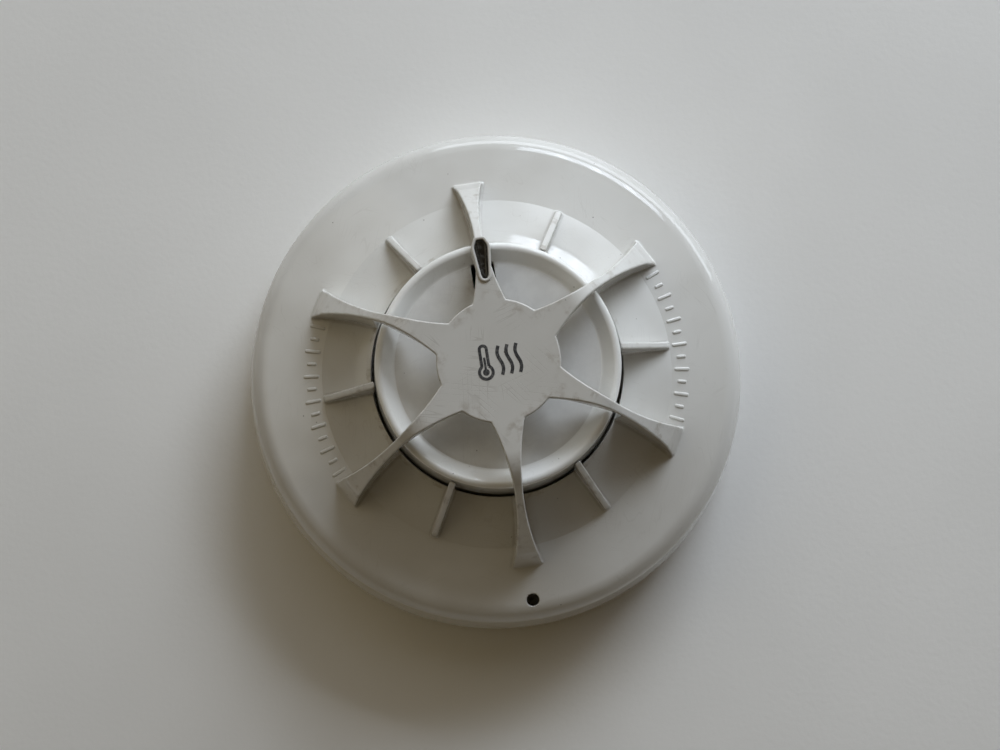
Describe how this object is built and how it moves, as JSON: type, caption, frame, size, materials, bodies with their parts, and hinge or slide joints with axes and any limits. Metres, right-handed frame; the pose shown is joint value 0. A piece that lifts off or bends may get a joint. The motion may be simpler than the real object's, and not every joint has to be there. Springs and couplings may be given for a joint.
{
  "type": "heat detector",
  "caption": "Round ceiling heat detector: low body, raised cone, ring and six-armed star guard over the sensing bead, on a twist-lock mounting base.",
  "frame": {"origin": "centre of the mounting base's underside, on the detector's axis", "axes": "+Z along the detector's axis, from the mounting surface towards the star plate; +Y towards the arm that carries the indicator lens; the locking screw is at -Y"},
  "size_m": [0.1, 0.1, 0.05],
  "materials": {
    "cover_white": "semi-gloss moulded polycarbonate, lightly scuffed",
    "inner_white": "semi-gloss moulded plastic, dusty floor",
    "base_white": "satin moulded plastic",
    "chassis_white": "satin moulded plastic",
    "smoke_lens": "clear smoky polycarbonate, polished",
    "lamp_red": "tinted clear epoxy",
    "bead_epoxy": "dipped dark epoxy",
    "tinned_wire": "tinned wire",
    "board_green": "solder mask over glass epoxy",
    "chip_black": "moulded epoxy",
    "capacitor_can": "drawn aluminium with printed sleeve band",
    "resistor_ceramic": "glazed ceramic chip",
    "capacitor_ceramic": "sintered ceramic chip",
    "screw_zinc": "bright zinc plated steel",
    "spring_steel": "stainless spring strip",
    "blade_steel": "stainless strip",
    "clamp_steel": "zinc plated pressed steel",
    "earth_brass": "bright brass",
    "pin_brass": "gold-flashed brass",
    "label_paper": "blank matt label"
  },
  "bodies": {
    "base": {"base_moulding": "base_white", "contact_springs": "spring_steel", "terminal_clamps": "clamp_steel", "terminal_screws": "screw_zinc", "earth_clamp": "earth_brass", "earth_screw": "screw_zinc"},
    "head": {"outer_cover": "cover_white", "inner_cover": "inner_white", "light_pipe": "smoke_lens", "indicator_led": "lamp_red", "thermistor_bead": "bead_epoxy", "thermistor_leads": "tinned_wire", "circuit_board": "board_green", "control_chip": "chip_black", "bridge_diodes": "chip_black", "smoothing_capacitors": "capacitor_can", "chip_resistors": "resistor_ceramic", "chip_capacitors": "capacitor_ceramic", "switching_transistor": "chip_black", "board_screws": "screw_zinc", "rear_chassis": "chassis_white", "chassis_screws": "screw_zinc", "contact_blades": "blade_steel", "blade_rivets": "tinned_wire", "contact_pins": "pin_brass", "rear_label": "label_paper"},
    "lock": {"locking_screw": "screw_zinc"}
  },
  "joints": [
    {"name": "head_twist", "type": "hinge", "parent": "base", "child": "head", "pos_m": [0, 0, 0.008], "axis": [0, 0, 1], "range_deg": [0, 20]},
    {"name": "locking_screw_travel", "type": "slide", "parent": "head", "child": "lock", "axis": [0, 0, -1], "range_m": [0, 0.0022]}
  ]
}
